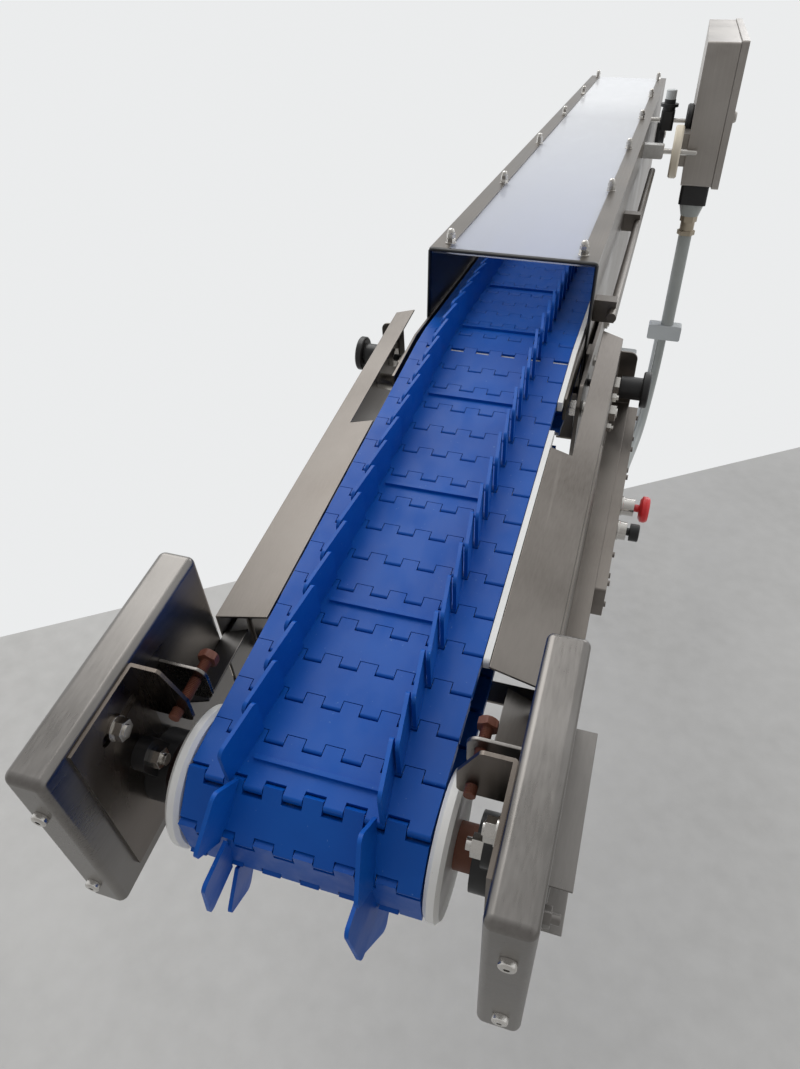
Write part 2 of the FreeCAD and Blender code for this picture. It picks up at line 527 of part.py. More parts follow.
# ---------------------------------------------------------------- hooded length: frame
def hood_frame():
    thick = size("sheet_thk")
    web = size("hood_half")
    front = size("hood_front")
    length = size("hood_end") - front
    line = [(web - size("foot_lip"), size("frame_low")), (web, size("frame_low")),
            (web, size("hood_top")), (web - size("hood_lip"), size("hood_top"))]
    side = plate(folded(line, thick), "y", front, length)
    stud_ys = [size("stud_first") + size("stud_step") * k for k in range(int(size("stud_rows")))]
    stud = size("stud_x")
    top = size("hood_top")
    pads = [size("kink_y") * -1 - size("pad_y") / 2, size("kink_y") * -1 + size("pad_y") / 2]
    foot_x = web - size("foot_lip") / 2
    tools = [rod(V(stud, y, top - 10), V(stud, y, top + 5), size("stud_hole")) for y in stud_ys]
    tools += [rod(V(foot_x, y, size("frame_low") - 5), V(foot_x, y, size("frame_low") + 10),
                  size("pad_hole")) for y in pads]
    tools.append(rod(V(web - 10, DRIVE_Y, AXLE_H), V(web + 5, DRIVE_Y, AXLE_H), 50))
    side = cut(side, tools)
    add("hood_side_right", [side], ROOT)
    add("hood_side_left", [mirror(side)], ROOT)

    under = top - thick
    glass = block(-web + thick + 1, web - thick - 1, front + 4, size("hood_end") - 4,
                  under - size("window_thk"), under)
    glass = cut(glass, [rod(V(sign * stud, y, under - 20), V(sign * stud, y, under + 5),
                            size("stud_hole")) for y in stud_ys for sign in (1, -1)])
    add("hood_window", [glass], ROOT)
    base = under - size("window_thk")
    for y in stud_ys:
        for x in (stud, -stud):
            HOOD_BOLTS.append(fused([rod(V(x, y, base - 1), V(x, y, top + 10), size("stud_dia")),
                                     hexagon(V(x, y, base - 6), V(x, y, base), 13),
                                     rod(V(x, y, top), V(x, y, top + 1.6), 18),
                                     hexagon(V(x, y, top + 1.6), V(x, y, top + 8), 13),
                                     hexagon(V(x, y, top + 9), V(x, y, top + 15), 13),
                                     rod(V(x, y, top + 15), V(x, y, top + 18), 12),
                                     Part.makeSphere(6, V(x, y, top + 18))]))

    inner = web - thick
    ties = [rod(V(-inner, y, -70), V(inner, y, -70), 30) for y in (180, 760, 1340, 1920)]
    strips = []
    for x in (-80, 0, 80):
        ties.append(block(x - 4, x + 4, 40, 2200, -55, -28))
        strips.append(block(x - 10, x + 10, 36, 2210, -28, -size("belt_thk") - 0.3))
    top_h = AXLE_H - FLAT - size("belt_thk") / 2 - 0.4
    strips += both([block(90, 116, 96, 2210, top_h - 12, top_h)])
    for y in (180, 760, 1340, 1920):
        ties += both([block(94, inner, y - 15, y + 15, top_h - 16, top_h - 12)])
    add("hood_wear_strips", strips, ROOT)

    run = [(-135, -14), (-135, 1), (0, 1), (2210, 1), (2210, -14), (0, -14)]
    lean = [TILT.multVec(V(0, y, z)) if y < 0 else V(0, y, z) for y, z in run]
    strip = plate([(p.y, p.z) for p in lean], "x", size("strip_in"), size("strip_out") - size("strip_in"))
    add("hood_edge_strips", [strip], ROOT)
    back = plate([(p.y, p.z) for p in [TILT.multVec(V(0, -120, -40)), TILT.multVec(V(0, -120, -3)),
                                       V(0, 0, -3), V(0, 2200, -3), V(0, 2200, -40), V(0, 0, -40)]],
                 "x", size("strip_out"), inner - size("strip_out"))
    add("hood_carry_frame", ties + both([back]), ROOT)

    start = size("cheek_in")
    cheek = plate([(-48, -170), (-62, -140), (-62, -60), (-40, -34), (330, -34), (330, -170)], "x",
                  start, size("cheek_thk"))
    cheek = rounded(cheek, V(1, 0, 0), 10)
    arm_y = size("lock_y") - size("pivot_y")
    arm_z = size("lock_z") - size("pivot_z")
    reach = math.hypot(arm_y, arm_z)
    base_turn = math.degrees(math.atan2(arm_z, arm_y))
    tools = [rod(V(start - 1, size("pivot_y"), size("pivot_z")),
                 V(start + 20, size("pivot_y"), size("pivot_z")), size("pivot_hole"))]
    for k in range(-2, 22):
        a = math.radians(base_turn + k * 0.5)
        y = size("pivot_y") + reach * math.cos(a)
        z = size("pivot_z") + reach * math.sin(a)
        tools.append(rod(V(start - 1, y, z), V(start + 20, y, z), size("pin_slot")))
    cheek = cut(cheek, [fused(tools[1:]), tools[0]])
    edge = start + size("cheek_thk")
    pads = [block(web, start, y - 22, y + 22, -160, -44) for y in (125, 300)]
    add("pivot_cheeks", both([fused([cheek] + pads)]), ROOT)
    for y in (125, 300):
        for z in (-140, -64):
            HOOD_BOLTS.extend(both([fused([hexagon(V(edge, y, z), V(edge + 6.5, y, z), 17),
                                           rod(V(edge, y, z), V(edge + 9, y, z), 10)])]))


# ---------------------------------------------------------------- hooded length: drive
def drive_unit():
    web = size("hood_half")
    bore = size("shaft_dia") + 2 * size("shaft_gap")
    bearings = []
    for start, run in ((web, 30), (-web, -18)):
        body = fused([rod(V(start, DRIVE_Y, AXLE_H), V(start + run, DRIVE_Y, AXLE_H), 76),
                      block(min(start, start + run * 0.4), max(start, start + run * 0.4),
                            DRIVE_Y - 43, DRIVE_Y + 43, AXLE_H - 43, AXLE_H + 43)])
        body = cut(body, [rod(V(start - run, DRIVE_Y, AXLE_H), V(start + 2 * run, DRIVE_Y, AXLE_H), bore)])
        bearings.append(body)
    add("drive_bearings", bearings, ROOT)
    start = -web - 18
    gear = block(start - 62, start, DRIVE_Y - 68, DRIVE_Y + 48, AXLE_H - 50, AXLE_H + 50)
    gear = rounded(gear, V(1, 0, 0), 14)
    gear = cut(gear, [rod(V(start - 44, DRIVE_Y, AXLE_H), V(start + 1, DRIVE_Y, AXLE_H), bore)])
    mid = start - 31
    motor = fused([rod(V(mid, DRIVE_Y - 68, AXLE_H), V(mid, DRIVE_Y - 80, AXLE_H), 94),
                   rod(V(mid, DRIVE_Y - 80, AXLE_H), V(mid, DRIVE_Y - 250, AXLE_H), 88),
                   rod(V(mid, DRIVE_Y - 250, AXLE_H), V(mid, DRIVE_Y - 285, AXLE_H), 94)])
    add("gear_motor", [fused([gear, motor])], ROOT)


# ---------------------------------------------------------------- hooded length: side gear
def side_gear():
    web = size("hood_half")
    x = size("rod_x")
    z = size("rod_z")
    post_y = size("clamp_y") - 62
    post_z = 65
    saddles = [rod(V(x, 110, z), V(x, size("clamp_y") - 76, z), size("rail_dia"))]
    for y in (150, 700):
        saddle = block(web, x + 4, y - 14, y + 14, z - 18, z + 18)
        saddles.append(cut(saddle, [rod(V(x, y - 20, z), V(x, y + 20, z), size("rail_dia"))]))
    add("support_tube", saddles, ROOT)
    block_body = block(web, x + 20, post_y - 14, post_y + 18, post_z - 18, post_z + 16)
    block_body = rounded(block_body, V(0, 1, 0), 5, lambda c: c.x > web + 1)
    add("clamp_block", [cut(block_body, [rod(V(web, post_y, post_z), V(x + 21, post_y, post_z), 14)])], ROOT)
    far_y = post_y + 190
    rods = [revolved([(0, 0), (7, 0), (7, 134), (5.5, 135.5), (0, 135.5)], web, post_y, post_z),
            rod(V(web, far_y, 110), V(size("cab_x"), far_y, 110), 12)]
    add("swivel_rods", rods, ROOT)
    ring = [(7, 0), (60, 0), (64, 4), (64, 18), (60, 22), (7, 22)]
    turn_about_x("swivel_disc", ring, 207, post_y, post_z, ROOT)
    turn_about_x("back_disc", [(6, 0), (40, 0), (44, 4), (44, 14), (40, 18), (6, 18)],
                 size("cab_x") - 18, far_y, 110, ROOT)
    holder = fused([rounded(block(160, 196, far_y - 20, far_y + 20, 86, 134), V(0, 0, 1), 8),
                    rod(V(178, far_y, 133), V(178, far_y, 144), 34),
                    rod(V(178, far_y, 144), V(178, far_y, 152), 48),
                    rod(V(178, far_y, 152), V(178, far_y, 162), 30)])
    add("sensor_body", [cut(holder, [rod(V(150, far_y, 110), V(200, far_y, 110), 12)])], ROOT)
    turned("sensor_cap", [(0, 0), (14, 0), (14, 22), (12, 24), (0, 24)],
           ROOT.multiply(FreeCAD.Placement(V(178, far_y, 162), FreeCAD.Rotation(V(1, 0, 0), 90))))


# ---------------------------------------------------------------- control cabinet and cable
def cabinet():
    x = size("cab_x")
    deep = size("cab_deep")
    y = size("cab_y")
    long = size("cab_long")
    low = size("cab_low")
    high = size("cab_high")
    wall = size("cab_wall")
    body = rounded(block(x, x + deep, y, y + long, low, high), V(1, 0, 0), 6)
    hollow = block(x + wall, x + deep + 1, y + wall, y + long - wall, low + wall, high - wall)
    mid_x = x + 0.5 * deep
    entry_y = y + 45
    body = cut(body, [hollow, rod(V(mid_x, entry_y, low - 2), V(mid_x, entry_y, low + 5), 40)])
    front = x + deep
    lid = rounded(block(front + 0.8, front + size("door_thk"), y - 3, y + long + 3, low - 4, high + 4),
                  V(1, 0, 0), 6)
    pocket = block(front - 1, front + size("door_thk") - 3, y + 6, y + long - 6, low + 6, high - 6)
    lock = revolved([(0, 0), (14, 0), (14, 4), (11, 8), (0, 8)], front + size("door_thk"), y + 30,
                    0.5 * (low + high))
    add("cabinet_door", [fused([cut(lid, [pocket]), lock])], ROOT)
    knuckle_y = y + long + 7
    parts = [body, block(229, x, y + 30, y + 110, 20, 100)]
    for z in (low + 60, high - 60):
        leaf = block(front - 14, front, y + long, y + long + 3, z - 22, z + 22)
        parts += [leaf, rod(V(front - 6, knuckle_y, z - 22), V(front - 6, knuckle_y, z + 22), 10)]
    add("cabinet_body", [fused(parts)], ROOT)

    collar = block(mid_x - 36, mid_x + 36, entry_y - 38, entry_y + 42, low - 50, low)
    add("cable_collar", [rounded(collar, V(0, 0, 1), 8)], ROOT)
    reducer = Part.makeCone(34, 24, 34, V(mid_x, entry_y, low - 50), V(0, 0, -1))
    gland_top = low - 84
    gland = fused([hexagon(V(mid_x, entry_y, gland_top), V(mid_x, entry_y, gland_top - 16), 40),
                   rod(V(mid_x, entry_y, gland_top), V(mid_x, entry_y, gland_top - 40), 38),
                   hexagon(V(mid_x, entry_y, gland_top - 40), V(mid_x, entry_y, gland_top - 52), 42)])
    add("cable_gland", [gland], ROOT)
    pipe_top = gland_top - 52
    pipe_low = pipe_top - 265
    add("cable_pipe", [reducer, rod(V(mid_x, entry_y, pipe_top), V(mid_x, entry_y, pipe_low), 36)], ROOT)
    clip = block(mid_x - 52, mid_x + 44, entry_y - 20, entry_y + 20, pipe_low - 45, pipe_low)
    return mid_x, entry_y, pipe_low - 45, rounded(clip, V(0, 1, 0), 6)


def smooth_path(points):
    """Straight runs joined by tangent arcs; each radius follows from its shorter run."""
    edges = []
    start = points[0]
    for k in range(1, len(points) - 1):
        here = points[k]
        before = here.sub(points[k - 1])
        after = points[k + 1].sub(here)
        turn = before.getAngle(after)
        back = 0.45 * min(before.Length, after.Length)
        first = here.sub(V(before).normalize().multiply(back))
        last = here.add(V(after).normalize().multiply(back))
        bisect = V(after).normalize().sub(V(before).normalize()).normalize()
        radius = back / math.tan(turn / 2)
        centre = here.add(V(bisect).multiply(radius / math.cos(turn / 2)))
        middle = centre.sub(V(bisect).multiply(radius))
        edges.append(Part.LineSegment(start, first).toShape())
        edges.append(Part.Arc(first, middle, last).toShape())
        print("bend radius", round(radius))
        start = last
    edges.append(Part.LineSegment(start, points[-1]).toShape())
    return Part.Wire(edges)


def swept(path, dia):
    first = path.Vertexes[0].Point
    along = path.Edges[0].tangentAt(path.Edges[0].FirstParameter)
    ring = Part.Wire([Part.makeCircle(dia / 2.0, first, along)])
    pipe = path.makePipeShell([ring], True, False)
    print("cord volume ratio", round(pipe.Volume / (path.Length * math.pi * dia * dia / 4), 3))
    return pipe


def cable():
    x, y, z, clip = cabinet()
    dia = size("cord_dia")
    box_x = size("cheek_in") + 44
    end = V(box_x, 400, -206)
    line = [V(x - 6, y, z), V(x - 6, y, z - 80), V(272, 1235, -640), V(262, 1110, -700),
            V(240, 910, -705), V(225, 680, -640), V(205, 490, -530), V(188, 405, -400),
            V(box_x, 400, -300), end]
    add("cable_conduit", [swept(smooth_path(line), dia)], ROOT)
    shift = V(-17.5, -4, 0)
    line = [p.add(shift) for p in line[:-1]] + [end.add(shift)]
    add("cable_hose", [swept(smooth_path(line), 9)], ROOT)
    entry = block(size("hood_half"), box_x + 28, 340, 460, -206, -172)
    add("cable_boxes", [clip, rounded(entry, V(0, 0, 1), 6, lambda c: c.x > 170)], ROOT)


# ---------------------------------------------------------------- tilting length: controls
def controls():
    bend = size("near_bend")
    nuts = []
    for sign in (1, -1):
        nut = fused([hexagon(V(bend, LOCK_S, LOCK_H), V(bend + 8, LOCK_S, LOCK_H), 30),
                     rod(V(bend - 12, LOCK_S, LOCK_H), V(bend + 8, LOCK_S, LOCK_H), 24),
                     hexagon(V(bend - 12, LOCK_S, LOCK_H), V(bend - 3, LOCK_S, LOCK_H), 30)])
        nut = cut(nut, [rod(V(bend - 20, LOCK_S, LOCK_H), V(bend + 20, LOCK_S, LOCK_H),
                            size("pin_dia") + 0.1)])
        nuts.append(nut if sign > 0 else mirror(nut))
    add("plunger_nuts", nuts, NEAR)
    tip = size("cheek_in") - 2
    face = size("knob_face") - bend
    neck = size("knob_neck") / 2
    rim = size("knob_dia") / 2
    pin = size("pin_dia") / 2
    base = 8.4
    outline = [(0, tip - bend), (pin - 1, tip - bend), (pin, tip - bend + 1), (pin, base), (neck, base),
               (neck, face - 12), (rim - 2, face - 12), (rim, face - 10), (rim, face - 2),
               (rim - 2, face), (0, face)]
    turn_about_x("plunger_right", outline, bend, LOCK_S, LOCK_H, NEAR)
    spin = FreeCAD.Rotation(V(0, 0, 1), 90)
    place = NEAR.multiply(FreeCAD.Placement(V(-bend, LOCK_S, LOCK_H), spin))
    turned("plunger_left", outline, place)

    wall = size("panel_x")
    lid = block(wall, wall + 15, -345, 80, size("panel_low") + 1, size("shelf_h") - 1)
    spot_h = -168
    stop_s = -142
    push_s = -196
    lid = cut(lid, [rod(V(wall - 1, s, spot_h), V(wall + 16, s, spot_h), 22) for s in (stop_s, push_s)])
    screws = [rod(V(wall + 15, s, h), V(wall + 18, s, h), 8)
              for s in (-325, -270, -100, -30, 55) for h in (-146, -190)]
    add("panel_lid", [fused([rounded(lid, V(1, 0, 0), 4)] + screws)], NEAR)
    bezels = []
    for s, long in ((stop_s, 20), (push_s, 14)):
        ring = [(6, -13), (10.8, -13), (10.8, 0), (15, 0), (15, 3), (13.5, 4), (13.5, long), (6, long)]
        bezels.append(revolved(ring, wall + 15, s, spot_h))
    add("button_bezels", bezels, NEAR)
    turn_about_x("stop_mushroom", [(0, -10), (5.8, -10), (5.8, 27), (14, 27), (20, 31), (20, 38),
                                   (17, 42), (0, 42)], wall + 15, stop_s, spot_h, NEAR)
    turn_about_x("push_cap", [(0, -10), (5.8, -10), (5.8, 18.5), (13, 18.5), (13, 31), (11.5, 32.5),
                              (0, 32.5)], wall + 15, push_s, spot_h, NEAR)


near_frame()
near_end()
wheels()
hood_frame()
drive_unit()
side_gear()
cable()
controls()
add("near_bolts", both(NEAR_BOLTS), NEAR)
add("hood_bolts", HOOD_BOLTS, ROOT)
doc.recompute()

bad = [o.Label for o in doc.Objects if "Invalid" in o.State or "Error" in o.State]
if bad:
    raise RuntimeError("not computed: %s" % bad)
os.makedirs("parts", exist_ok=True)
for node in nodes:
    shape = node.Shape
    if shape.isNull() or not shape.isValid():
        raise RuntimeError("bad shape: %s" % node.Label)
    box = shape.BoundBox
    print(node.Label, len(shape.Solids), [round(v) for v in (box.XMin, box.XMax, box.YMin, box.YMax,
                                                             box.ZMin, box.ZMax)])
    shape.exportStep("parts/%s.step" % node.Label)
print(len(nodes), "nodes")
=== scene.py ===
import math
import bmesh
import bpy
import numpy as np
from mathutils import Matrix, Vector


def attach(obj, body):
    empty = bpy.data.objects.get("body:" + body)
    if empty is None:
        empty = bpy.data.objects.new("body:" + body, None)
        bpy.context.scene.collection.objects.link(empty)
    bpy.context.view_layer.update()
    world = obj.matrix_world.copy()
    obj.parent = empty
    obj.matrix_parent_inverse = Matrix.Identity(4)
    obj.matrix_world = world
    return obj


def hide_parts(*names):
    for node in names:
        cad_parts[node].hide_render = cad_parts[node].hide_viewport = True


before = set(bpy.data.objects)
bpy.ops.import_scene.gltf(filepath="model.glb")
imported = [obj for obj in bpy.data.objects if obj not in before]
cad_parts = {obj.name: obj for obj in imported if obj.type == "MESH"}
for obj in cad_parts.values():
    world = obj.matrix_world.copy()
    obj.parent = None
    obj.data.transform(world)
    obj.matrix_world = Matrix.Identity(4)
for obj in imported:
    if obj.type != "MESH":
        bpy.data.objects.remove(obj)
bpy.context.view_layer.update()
scene = bpy.context.scene


# ---- View and light ---------------------------------------------------------------
# The section hangs on its foot bolts over a pale floor, seen from above its tilting end.
# A bright side and a dimmer side in the surroundings give the steel something to reflect.
EYE_PLACE = (0.2186, -2.3364, 0.7027)
EYE_TILT = math.radians(53.79)
EYE_TURN = math.radians(17.53)
EYE_LENS = 27.08

eye = bpy.data.cameras.new("eye")
eye.lens = EYE_LENS
eye.sensor_width = 36.0
eye_object = bpy.data.objects.new("eye", eye)
eye_object.location = EYE_PLACE
eye_object.rotation_euler = (EYE_TILT, 0.0, EYE_TURN)
scene.collection.objects.link(eye_object)
scene.camera = eye_object
scene.view_settings.view_transform = "Standard"
scene.view_settings.look = "None"


def panel_light(name, place, aim, width, length, watts, tint):
    """Rectangular soft light at a place, turned so that its face looks at a point."""
    light = bpy.data.lights.new(name, "AREA")
    light.shape = "RECTANGLE"
    light.size = width
    light.size_y = length
    light.energy = watts
    light.color = tint
    holder = bpy.data.objects.new(name, light)
    holder.location = place
    holder.rotation_euler = (Vector(aim) - Vector(place)).to_track_quat("-Z", "Y").to_euler()
    scene.collection.objects.link(holder)


panel_light("sky_panel", (-1.6, 0.6, 2.9), (0.0, -0.6, 0.1), 2.6, 3.4, 62.0, (1.0, 0.99, 0.97))
panel_light("back_panel", (1.2, 2.9, 1.9), (0.1, 0.0, 0.2), 1.8, 1.8, 22.0, (0.97, 0.98, 1.0))

DIM_SIDE = (0.42, 0.415, 0.41, 1)
BRIGHT_SIDE = (0.83, 0.84, 0.845, 1)
SIDE_SPREAD = 0.62

room = bpy.data.worlds.new("room")
room.use_nodes = True
scene.world = room
tree = room.node_tree
sky = tree.nodes["Background"]
direction = tree.nodes.new("ShaderNodeTexCoord")
split = tree.nodes.new("ShaderNodeSeparateXYZ")
tree.links.new(direction.outputs["Generated"], split.inputs[0])
wall_side = tree.nodes.new("ShaderNodeMath")
wall_side.operation = "MULTIPLY_ADD"
tree.links.new(split.outputs["Y"], wall_side.inputs[0])
wall_side.inputs[1].default_value = SIDE_SPREAD
wall_side.inputs[2].default_value = 0.5
shade = tree.nodes.new("ShaderNodeValToRGB")
shade.color_ramp.elements[0].position = 0.05
shade.color_ramp.elements[0].color = DIM_SIDE
shade.color_ramp.elements[1].position = 0.62
shade.color_ramp.elements[1].color = BRIGHT_SIDE
tree.links.new(wall_side.outputs[0], shade.inputs[0])
tree.links.new(shade.outputs[0], sky.inputs["Color"])
sky.inputs["Strength"].default_value = 1.0


def ringed_mesh(name, points):
    """Mesh of an (m, n, 3) array: m closed rings of n points, joined by four-sided faces and capped."""
    rows, cols = points.shape[:2]
    index = np.arange(rows * cols).reshape(rows, cols)
    across = np.concatenate([index, index[:, :1]], axis=1)
    faces = np.stack([across[:-1, :-1], across[1:, :-1], across[1:, 1:], across[:-1, 1:]], axis=-1)
    faces = faces.reshape(-1, 4).tolist()
    faces += [index[0].tolist(), index[-1][::-1].tolist()]
    mesh = bpy.data.meshes.new(name)
    mesh.from_pydata(points.reshape(-1, 3).tolist(), [], faces)
    tidy = bmesh.new()
    tidy.from_mesh(mesh)
    bmesh.ops.remove_doubles(tidy, verts=tidy.verts, dist=1e-6)
    bmesh.ops.recalc_face_normals(tidy, faces=tidy.faces)
    tidy.to_mesh(mesh)
    tidy.free()
    mesh.polygons.foreach_set("use_smooth", np.ones(len(mesh.polygons), bool))
    return mesh


def shown(name, mesh, finish, body=None, nodes=()):
    """Object at the origin with one finish, riding on a body and standing for the named nodes."""
    piece = bpy.data.objects.new(name, mesh)
    scene.collection.objects.link(piece)
    mesh.materials.clear()
    mesh.materials.append(finish)
    if body:
        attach(piece, body)
    if nodes:
        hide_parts(*nodes)
    return piece


def blank(name):
    """New material and its shader, node tree and object coordinates."""
    finish = bpy.data.materials.new(name)
    finish.use_nodes = True
    nodes = finish.node_tree
    place = nodes.nodes.new("ShaderNodeTexCoord").outputs["Object"]
    return finish, nodes, nodes.nodes["Principled BSDF"], place


def cloudy(nodes, place, stretch, scale, detail=4.0, low=0.35, high=0.65):
    """Noise value from 0 to 1 at a scale per metre, stretched by three factors along X, Y and Z."""
    turn = nodes.nodes.new("ShaderNodeMapping")
    turn.inputs["Scale"].default_value = stretch
    nodes.links.new(place, turn.inputs["Vector"])
    grain = nodes.nodes.new("ShaderNodeTexNoise")
    grain.inputs["Scale"].default_value = scale
    grain.inputs["Detail"].default_value = detail
    nodes.links.new(turn.outputs[0], grain.inputs["Vector"])
    spread = nodes.nodes.new("ShaderNodeMapRange")
    spread.inputs["From Min"].default_value = low
    spread.inputs["From Max"].default_value = high
    nodes.links.new(grain.outputs["Fac"], spread.inputs["Value"])
    return spread.outputs["Result"]


def mixed(nodes, amount, first, second):
    """Colour between two by an amount from 0 to 1; each may be a colour or another node's output."""
    blend = nodes.nodes.new("ShaderNodeMix")
    blend.data_type = "RGBA"
    nodes.links.new(amount, blend.inputs[0])
    for socket, colour in ((blend.inputs[6], first), (blend.inputs[7], second)):
        if isinstance(colour, tuple):
            socket.default_value = (*colour, 1)
        else:
            nodes.links.new(colour, socket)
    return blend.outputs[2]


def ranged(nodes, amount, low, high):
    """Number between low and high by an amount from 0 to 1."""
    spread = nodes.nodes.new("ShaderNodeMapRange")
    spread.inputs["To Min"].default_value = low
    spread.inputs["To Max"].default_value = high
    nodes.links.new(amount, spread.inputs["Value"])
    return spread.outputs["Result"]


def embossed(nodes, shader, heights):
    """Chain of bumps: each entry is a height value, its depth in metres and its strength."""
    before = None
    for height, depth, strength in heights:
        bump = nodes.nodes.new("ShaderNodeBump")
        bump.inputs["Distance"].default_value = depth
        bump.inputs["Strength"].default_value = strength
        nodes.links.new(height, bump.inputs["Height"])
        if before:
            nodes.links.new(before, bump.inputs["Normal"])
        before = bump.outputs[0]
    nodes.links.new(before, shader.inputs["Normal"])


# ---- Floor ------------------------------------------------------------------------
# Pale trowelled floor under the section, ending in a straight line on the bright side.
# Its slight mottling is colour only.
def floor_finish():
    """Pale grey with two sizes of soft mottling."""
    finish, nodes, shader, place = blank("pale_floor")
    broad = cloudy(nodes, place, (1, 1, 1), 1.3, 5.0, 0.3, 0.7)
    fine = cloudy(nodes, place, (1, 1, 1), 24.0, 6.0, 0.3, 0.7)
    tone = mixed(nodes, broad, (0.47, 0.465, 0.455), (0.56, 0.555, 0.545))
    nodes.links.new(mixed(nodes, ranged(nodes, fine, 0.0, 0.35), tone, (0.62, 0.615, 0.605)),
                    shader.inputs["Base Color"])
    shader.inputs["Roughness"].default_value = 0.8
    return finish


FLOOR_Z = -0.80
floor_mesh = bpy.data.meshes.new("floor")
floor_mesh.from_pydata([(-7.70, -6.378, FLOOR_Z), (7.267, 5.822, FLOOR_Z), (12.0, 5.8, FLOOR_Z),
                        (9.0, -12.0, FLOOR_Z), (-7.7, -12.0, FLOOR_Z)], [], [(0, 4, 3, 2, 1)])
floor_mesh.update()
shown("floor", floor_mesh, floor_finish())


# ---- Folded stainless frames ------------------------------------------------------
# Satin stainless sheet, folded and welded: side frames, ear plates, feet and hood sides.
# Grain runs along the length, edges are eased, and handling leaves faint clouds and scratches.
def satin_steel(name, dark, light, rough, along=(420, 5, 420)):
    """Brushed metal: stretched noise for grain, broad noise for clouds, thin bright scratches."""
    finish, nodes, shader, place = blank(name)
    lines = cloudy(nodes, place, along, 1.0, 5.0, 0.25, 0.75)
    clouds = cloudy(nodes, place, (1, 1, 1), 6.0, 4.0, 0.35, 0.68)
    smears = cloudy(nodes, place, (1, 0.35, 2.5), 14.0, 6.0, 0.55, 0.72)
    scratch = cloudy(nodes, place, (60, 3, 9), 1.0, 8.0, 0.69, 0.73)
    tone = mixed(nodes, clouds, dark, light)
    tone = mixed(nodes, ranged(nodes, lines, 0.0, 0.22), tone, tuple(min(1.0, 1.35 * c) for c in light))
    tone = mixed(nodes, ranged(nodes, smears, 0.0, 0.16), tone, tuple(0.72 * c for c in dark))
    tone = mixed(nodes, ranged(nodes, scratch, 0.0, 0.2), tone, tuple(min(1.0, 1.5 * c) for c in light))
    nodes.links.new(tone, shader.inputs["Base Color"])
    gloss = nodes.nodes.new("ShaderNodeMath")
    gloss.operation = "ADD"
    nodes.links.new(ranged(nodes, clouds, rough - 0.05, rough + 0.07), gloss.inputs[0])
    nodes.links.new(ranged(nodes, lines, -0.04, 0.05), gloss.inputs[1])
    nodes.links.new(gloss.outputs[0], shader.inputs["Roughness"])
    shader.inputs["Metallic"].default_value = 1.0
    embossed(nodes, shader, [(lines, 0.00012, 0.3),
                             (cloudy(nodes, place, (1, 0.4, 1), 9.0, 3.0, 0.3, 0.7), 0.0006, 0.25)])
    return finish


def eased(node, body, finish, width, segments=2, sharp=32):
    """Copy of a CAD node with its loose triangles joined into faces and its edges rounded to a width."""
    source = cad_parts[node].data
    tidy = bmesh.new()
    tidy.from_mesh(source)
    bmesh.ops.remove_doubles(tidy, verts=tidy.verts, dist=2e-6)
    bmesh.ops.dissolve_limit(tidy, angle_limit=math.radians(0.6), verts=tidy.verts, edges=tidy.edges)
    mesh = bpy.data.meshes.new(node + "_skin")
    tidy.to_mesh(mesh)
    tidy.free()
    mesh.polygons.foreach_set("use_smooth", np.ones(len(mesh.polygons), bool))
    if not width:
        mesh.set_sharp_from_angle(angle=math.radians(sharp))
    piece = shown(node + "_skin", mesh, finish, body, [node])
    if width:
        bevel = piece.modifiers.new("ease", "BEVEL")
        bevel.width = width
        bevel.segments = segments
        bevel.limit_method = "ANGLE"
        bevel.angle_limit = math.radians(sharp)
        bevel.use_clamp_overlap = True
        bevel.harden_normals = False
        even = piece.modifiers.new("even", "WEIGHTED_NORMAL")
        even.keep_sharp = True
    return piece


frame_steel = satin_steel("frame_steel", (0.150, 0.134, 0.120), (0.225, 0.206, 0.188), 0.36)
for node in ("near_side_right", "near_side_left"):
    eased(node, "near_section", frame_steel, 0.0009)
for node in ("hood_side_right", "hood_side_left", "pivot_cheeks"):
    eased(node, "root", frame_steel, 0.0009)
for node in ("near_carry_frame", "panel_lid"):
    eased(node, "near_section", frame_steel, 0.0008)
eased("hood_carry_frame", "root", frame_steel, 0.0005)

# ---- End boxes --------------------------------------------------------------------
# Each side of the tilting end has a closed stainless cover, an inner wall and an L bracket that
# holds the shaft bearing. Bends are polished brighter than the flat sheet.
box_steel = satin_steel("box_steel", (0.165, 0.155, 0.146), (0.260, 0.248, 0.236), 0.32, (300, 5, 300))
bracket_steel = satin_steel("bracket_steel", (0.110, 0.092, 0.078), (0.190, 0.168, 0.150), 0.30, (300, 40, 8))
eased("end_covers", "near_section", box_steel, 0.0006)
eased("end_walls", "near_section", box_steel, 0.0008)
eased("bearing_brackets", "near_section", bracket_steel, 0.0012)
eased("box_side_plate", "near_section", box_steel, 0.0008)

# ---- Control cabinet --------------------------------------------------------------
# Thin folded stainless box with a lipped door on two knuckle hinges, brushed up and down.
cabinet_steel = satin_steel("cabinet_steel", (0.34, 0.315, 0.29), (0.44, 0.415, 0.39), 0.38, (260, 260, 6))
eased("cabinet_body", "root", cabinet_steel, 0.001)
eased("cabinet_door", "door", cabinet_steel, 0.0012)
eased("support_tube", "root", frame_steel, 0.0006)


# ---- Bright fasteners and shafts --------------------------------------------------
# Turned stainless: bolts with dome nuts and washers, pivot bolts, nuts, bezels and the two shafts.
bright_steel = satin_steel("bright_steel", (0.50, 0.48, 0.45), (0.68, 0.66, 0.63), 0.20, (900, 900, 900))
for node, body in (("near_bolts", "near_section"), ("pivot_bolts", "near_section"),
                   ("plunger_nuts", "near_section"), ("button_bezels", "near_section"),
                   ("idler_shaft", "idler"), ("drive_shaft", "drive"), ("swivel_rods", "root")):
    eased(node, body, bright_steel, 0.0005, 2, 28)
eased("hood_bolts", "root", bright_steel, 0.0, sharp=28)


